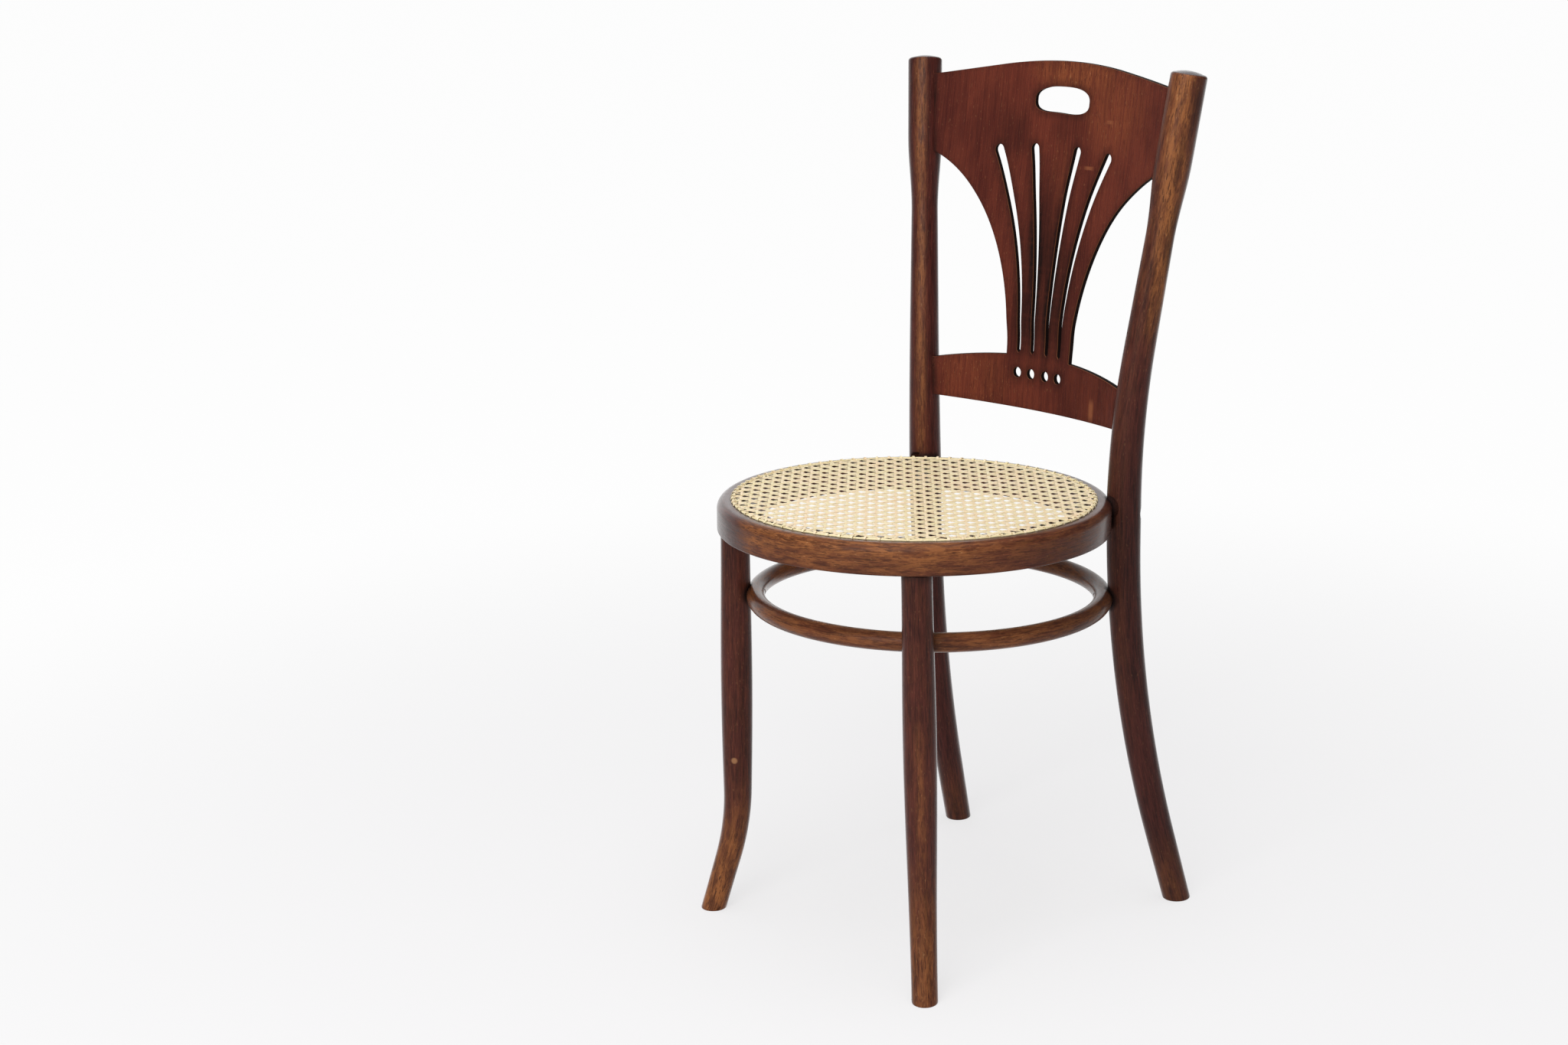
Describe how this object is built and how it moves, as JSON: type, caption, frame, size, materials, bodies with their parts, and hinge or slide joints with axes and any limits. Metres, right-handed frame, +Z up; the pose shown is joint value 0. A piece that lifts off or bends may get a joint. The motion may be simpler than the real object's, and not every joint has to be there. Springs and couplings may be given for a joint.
{
  "type": "bentwood side chair",
  "caption": "Bentwood side chair with a round caned seat, splayed bent legs joined by a hoop stretcher, and a pierced, bowed plywood back with a hand hole.",
  "frame": {"origin": "on the floor, under the middle of the chair's outline", "axes": "+Z up; the front of the seat faces -Y; +X is the right side as seen from the front"},
  "size_m": [0.4046, 0.4334, 0.8732],
  "materials": {
    "beech": "dark red-brown stain under worn satin varnish",
    "veneer": "red-brown stained plywood under satin varnish",
    "cane": "natural woven cane, satin",
    "steel": "dull dark steel"
  },
  "bodies": {
    "root": {"seat_ring": "beech", "front_leg_left": "beech", "front_leg_right": "beech", "rear_post_left": "beech", "rear_post_right": "beech", "stretcher_ring": "beech", "back_panel": "veneer", "cane_web": "cane", "cane_binder": "cane", "post_bolt_left": "steel", "post_bolt_right": "steel", "post_washer_left": "steel", "post_washer_right": "steel", "post_nut_left": "steel", "post_nut_right": "steel", "stretcher_screw_front_left": "steel", "stretcher_screw_front_right": "steel", "stretcher_screw_rear_left": "steel", "stretcher_screw_rear_right": "steel", "leg_screw_left": "steel", "leg_screw_right": "steel", "panel_pin_lower_left": "steel", "panel_pin_lower_right": "steel", "panel_pin_upper_left": "steel", "panel_pin_upper_right": "steel"}
  },
  "joints": []
}
